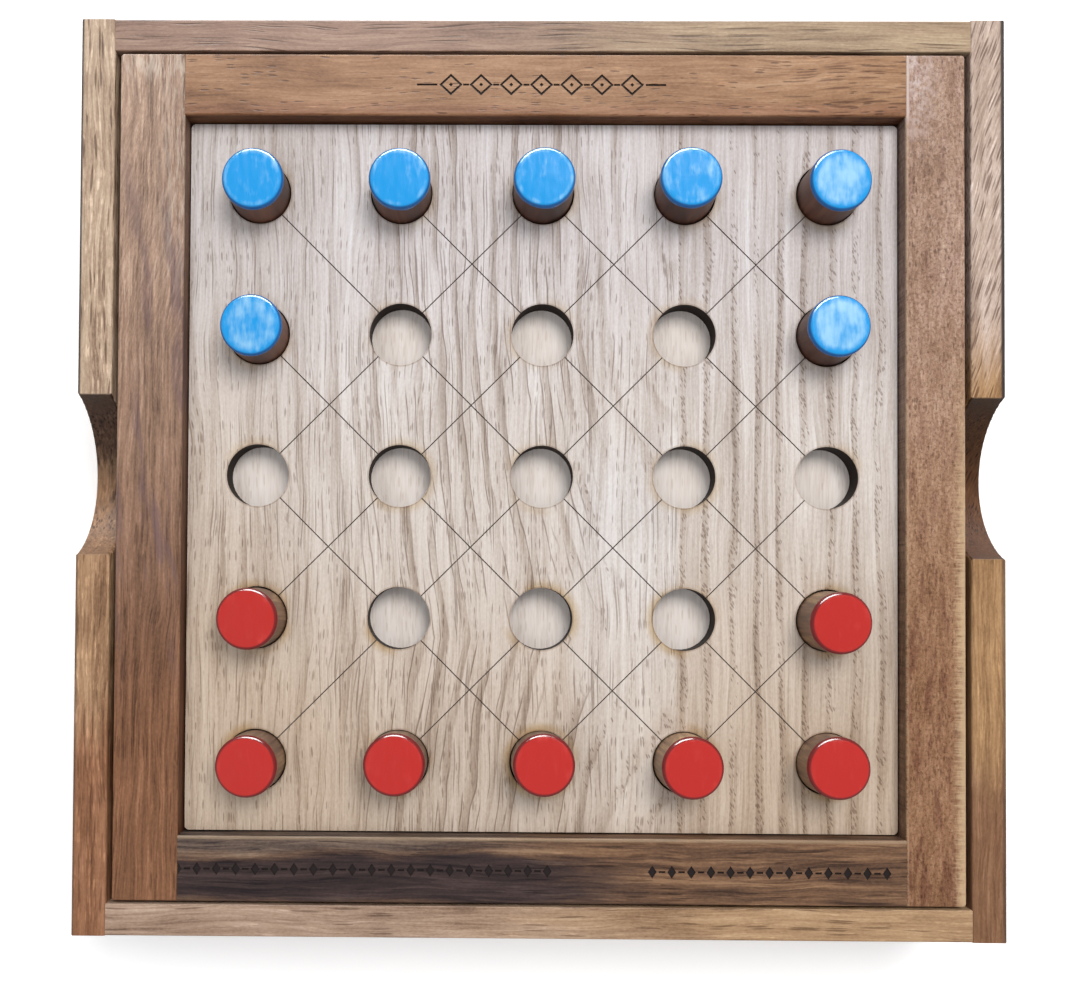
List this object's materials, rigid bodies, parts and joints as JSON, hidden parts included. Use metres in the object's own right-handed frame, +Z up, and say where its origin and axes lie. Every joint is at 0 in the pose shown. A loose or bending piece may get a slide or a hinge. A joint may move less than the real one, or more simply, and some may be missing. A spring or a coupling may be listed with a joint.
{
  "type": "peg board game",
  "caption": "Square wooden strategy board game: a framed board with a grid of peg holes joined by diagonal lines lifts out of a shallow box that stores its painted pegs.",
  "frame": {"origin": "middle of the box's underside, on the surface that it stands on", "axes": "+X towards the players' right, along the back and front walls; +Y to the back; +Z up, the way the tray and the pegs lift out"},
  "size_m": [0.2446, 0.2424, 0.0445],
  "materials": {
    "box_wood": "satin oiled hardwood",
    "frame_wood": "satin oiled hardwood",
    "board_wood": "satin oak, laser-cut edges",
    "panel_wood": "bare pale plywood",
    "ledge_wood": "bare sawn hardwood",
    "blue_peg": "brown dowel with a glossy blue painted top",
    "red_peg": "brown dowel with a glossy red painted top"
  },
  "bodies": {
    "box": {"box_left_wall": "box_wood", "box_right_wall": "box_wood", "box_back_wall": "box_wood", "box_front_wall": "box_wood", "box_bottom_panel": "panel_wood", "ledge_left": "ledge_wood", "ledge_right": "ledge_wood", "ledge_back": "ledge_wood", "ledge_front": "ledge_wood"},
    "tray": {"tray_left_stile": "frame_wood", "tray_right_stile": "frame_wood", "tray_back_rail": "frame_wood", "tray_front_rail": "frame_wood", "playing_board": "board_wood", "backing_panel": "panel_wood"},
    "blue_peg_1": {"blue_peg_1": "blue_peg"},
    "blue_peg_2": {"blue_peg_2": "blue_peg"},
    "blue_peg_3": {"blue_peg_3": "blue_peg"},
    "blue_peg_4": {"blue_peg_4": "blue_peg"},
    "blue_peg_5": {"blue_peg_5": "blue_peg"},
    "blue_peg_6": {"blue_peg_6": "blue_peg"},
    "blue_peg_7": {"blue_peg_7": "blue_peg"},
    "red_peg_1": {"red_peg_1": "red_peg"},
    "red_peg_2": {"red_peg_2": "red_peg"},
    "red_peg_3": {"red_peg_3": "red_peg"},
    "red_peg_4": {"red_peg_4": "red_peg"},
    "red_peg_5": {"red_peg_5": "red_peg"},
    "red_peg_6": {"red_peg_6": "red_peg"},
    "red_peg_7": {"red_peg_7": "red_peg"}
  },
  "joints": [
    {"name": "tray_lift", "type": "slide", "parent": "box", "child": "tray", "axis": [0, 0, 1], "range_m": [0, 0.045]},
    {"name": "blue_peg_1_lift", "type": "slide", "parent": "tray", "child": "blue_peg_1", "axis": [0, 0, 1], "range_m": [0, 0.03]},
    {"name": "blue_peg_2_lift", "type": "slide", "parent": "tray", "child": "blue_peg_2", "axis": [0, 0, 1], "range_m": [0, 0.03]},
    {"name": "blue_peg_3_lift", "type": "slide", "parent": "tray", "child": "blue_peg_3", "axis": [0, 0, 1], "range_m": [0, 0.03]},
    {"name": "blue_peg_4_lift", "type": "slide", "parent": "tray", "child": "blue_peg_4", "axis": [0, 0, 1], "range_m": [0, 0.03]},
    {"name": "blue_peg_5_lift", "type": "slide", "parent": "tray", "child": "blue_peg_5", "axis": [0, 0, 1], "range_m": [0, 0.03]},
    {"name": "blue_peg_6_lift", "type": "slide", "parent": "tray", "child": "blue_peg_6", "axis": [0, 0, 1], "range_m": [0, 0.03]},
    {"name": "blue_peg_7_lift", "type": "slide", "parent": "tray", "child": "blue_peg_7", "axis": [0, 0, 1], "range_m": [0, 0.03]},
    {"name": "red_peg_1_lift", "type": "slide", "parent": "tray", "child": "red_peg_1", "axis": [0, 0, 1], "range_m": [0, 0.03]},
    {"name": "red_peg_2_lift", "type": "slide", "parent": "tray", "child": "red_peg_2", "axis": [0, 0, 1], "range_m": [0, 0.03]},
    {"name": "red_peg_3_lift", "type": "slide", "parent": "tray", "child": "red_peg_3", "axis": [0, 0, 1], "range_m": [0, 0.03]},
    {"name": "red_peg_4_lift", "type": "slide", "parent": "tray", "child": "red_peg_4", "axis": [0, 0, 1], "range_m": [0, 0.03]},
    {"name": "red_peg_5_lift", "type": "slide", "parent": "tray", "child": "red_peg_5", "axis": [0, 0, 1], "range_m": [0, 0.03]},
    {"name": "red_peg_6_lift", "type": "slide", "parent": "tray", "child": "red_peg_6", "axis": [0, 0, 1], "range_m": [0, 0.03]},
    {"name": "red_peg_7_lift", "type": "slide", "parent": "tray", "child": "red_peg_7", "axis": [0, 0, 1], "range_m": [0, 0.03]}
  ]
}
